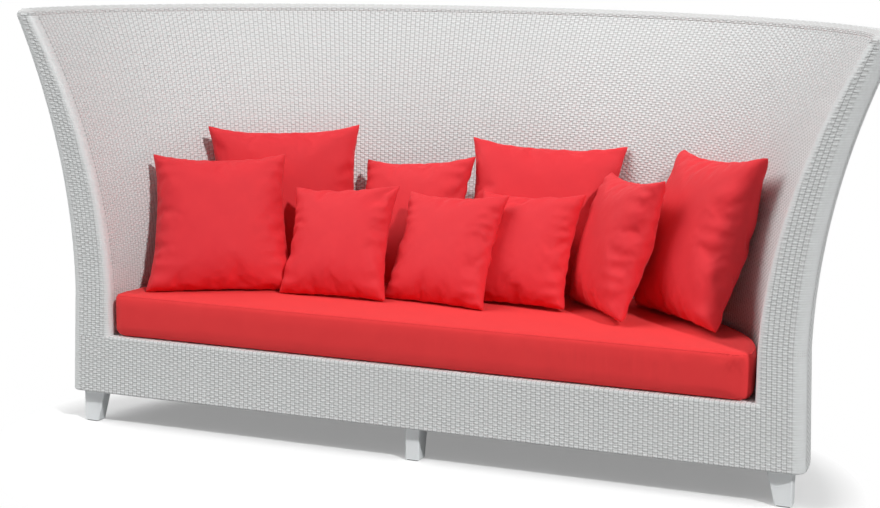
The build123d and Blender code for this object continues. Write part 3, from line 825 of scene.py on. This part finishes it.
# stage: pale floor, white behind for camera and gloss, a key on each side, soft light above and low behind
stage = {
    "floor": (0.77, 0.77, 0.77, 1), "bounce": (0.5, 0.5, 0.5, 1), "lift": (0.26, 0.26, 0.26, 1),
    "dark": (0, 0, 0, 1), "white": (1, 1, 1, 1), "fill": 0.09, "clear": (1.15, 0.9, 1.02), "fade": 10,
    "half": 12, "squares": 8,
    # energy, angle and way of each key
    "keys": {"keyRight": (1.95, 4, (-0.6, 0.42, -0.68)), "keyLeft": (1.9, 45, (0.64, 0.25, -0.73))},
    # energy, size, place, tilt and whether the camera sees it
    "areas": {
        "above": (6, (4, 3), (0, -0.2, 3.2), 0, True),
        "behind": (6, (1.6, 0.8), (0, 2.1, 0.6), -90, False),
    },
}
floorPaint, place, setFloor = newMaterial("paleFloor")
tree = floorPaint.node_tree
seen = Wire(tree.nodes.new("ShaderNodeLightPath").outputs["Is Camera Ray"])
setFloor(
    Base_Color=seen.blend(stage["bounce"], stage["floor"]),
    Roughness=0.9,
    Specular_IOR_Level=0.0,
    Emission_Color=seen.blend(stage["dark"], stage["lift"]),
    Emission_Strength=1.0,
)
sideways, backwards = place.parts()[:2]  # away from the sofa the camera sees plain white
wide, deep = sideways * (1 / stage["clear"][0]), (backwards - archY) * (1 / stage["clear"][1])
far = ((wide * wide + deep * deep) ** 0.5 - stage["clear"][2]) * stage["fade"]
faded = far.through("MAXIMUM", 0.0).through("MINIMUM", 1.0) * seen
plain = seen.make("ShaderNodeEmission", {}, {"Color": stage["white"]})
shader = next(node for node in tree.nodes if node.type == "BSDF_PRINCIPLED")
ending = next(node for node in tree.nodes if node.type == "OUTPUT_MATERIAL")
mixed = seen.make("ShaderNodeMixShader", {}, {0: faded})
tree.links.new(shader.outputs[0], mixed.inputs[1])
tree.links.new(plain.outputs[0], mixed.inputs[2])
below = Wire(tree.nodes.new("ShaderNodeNewGeometry").outputs["Backfacing"])  # and from below it is clear
clear = seen.make("ShaderNodeBsdfTransparent", {}, {})
sided = seen.make("ShaderNodeMixShader", {}, {0: below})
tree.links.new(mixed.outputs[0], sided.inputs[1])
tree.links.new(clear.outputs[0], sided.inputs[2])
tree.links.new(sided.outputs[0], ending.inputs[0])
bm = bmesh.new()
bmesh.ops.create_grid(bm, x_segments=stage["squares"], y_segments=stage["squares"], size=stage["half"])
floorMesh = bpy.data.meshes.new("paleFloor")
bm.to_mesh(floorMesh)
bm.free()
floorMesh.materials.append(floorPaint)
floor = bpy.data.objects.new("paleFloor", floorMesh)
scene.collection.objects.link(floor)

world = bpy.data.worlds.new("studio")
scene.world = world
world.use_nodes = True
back = world.node_tree.nodes["Background"]
ray = world.node_tree.nodes.new("ShaderNodeLightPath")
seen = Wire(ray.outputs["Is Camera Ray"])
for kind in ("Is Glossy Ray", "Is Transmission Ray"):
    seen = seen.through("MAXIMUM", Wire(ray.outputs[kind]))
back.inputs["Color"].default_value = stage["white"]
world.node_tree.links.new((stage["fill"] + (1 - stage["fill"]) * seen).socket, back.inputs["Strength"])

for name, (energy, angle, way) in stage["keys"].items():
    keyData = bpy.data.lights.new(name, "SUN")
    keyData.energy, keyData.angle = energy, radians(angle)
    key = bpy.data.objects.new(name, keyData)
    key.rotation_euler = Vector(way).to_track_quat("-Z", "Y").to_euler()
    scene.collection.objects.link(key)
for name, (energy, spread, spot, tilt, shown) in stage["areas"].items():
    areaData = bpy.data.lights.new(name, "AREA")
    areaData.energy, areaData.shape = energy, "RECTANGLE"
    areaData.size, areaData.size_y = spread
    area = bpy.data.objects.new(name, areaData)
    area.location, area.rotation_euler = spot, (radians(tilt), 0, 0)
    area.visible_camera = shown
    scene.collection.objects.link(area)

# camera at the photograph's place: yaw to the left, pitch down, slight roll
view = {
    "place": (1.9783, -5.268, 1.5167), "yaw": 21.742, "pitch": 10.01, "roll": 0.655,
    "lens": 75.68, "sensor": 36,
}
yaw, pitch, roll = (radians(view[name]) for name in ("yaw", "pitch", "roll"))
right = Vector((cos(yaw), sin(yaw), 0))
ahead = Vector((-sin(yaw) * cos(pitch), cos(yaw) * cos(pitch), -sin(pitch)))
up = right.cross(ahead)
right, up = right * cos(roll) + up * sin(roll), up * cos(roll) - right * sin(roll)
lensData = bpy.data.cameras.new("camera")
lensData.sensor_fit, lensData.sensor_width, lensData.lens = "HORIZONTAL", view["sensor"], view["lens"]
camera = bpy.data.objects.new("camera", lensData)
camera.matrix_world = Matrix((right, up, -ahead)).transposed().to_4x4()
camera.location = view["place"]
scene.collection.objects.link(camera)
scene.camera = camera
scene.view_settings.view_transform = "Standard"
print("stage lit")
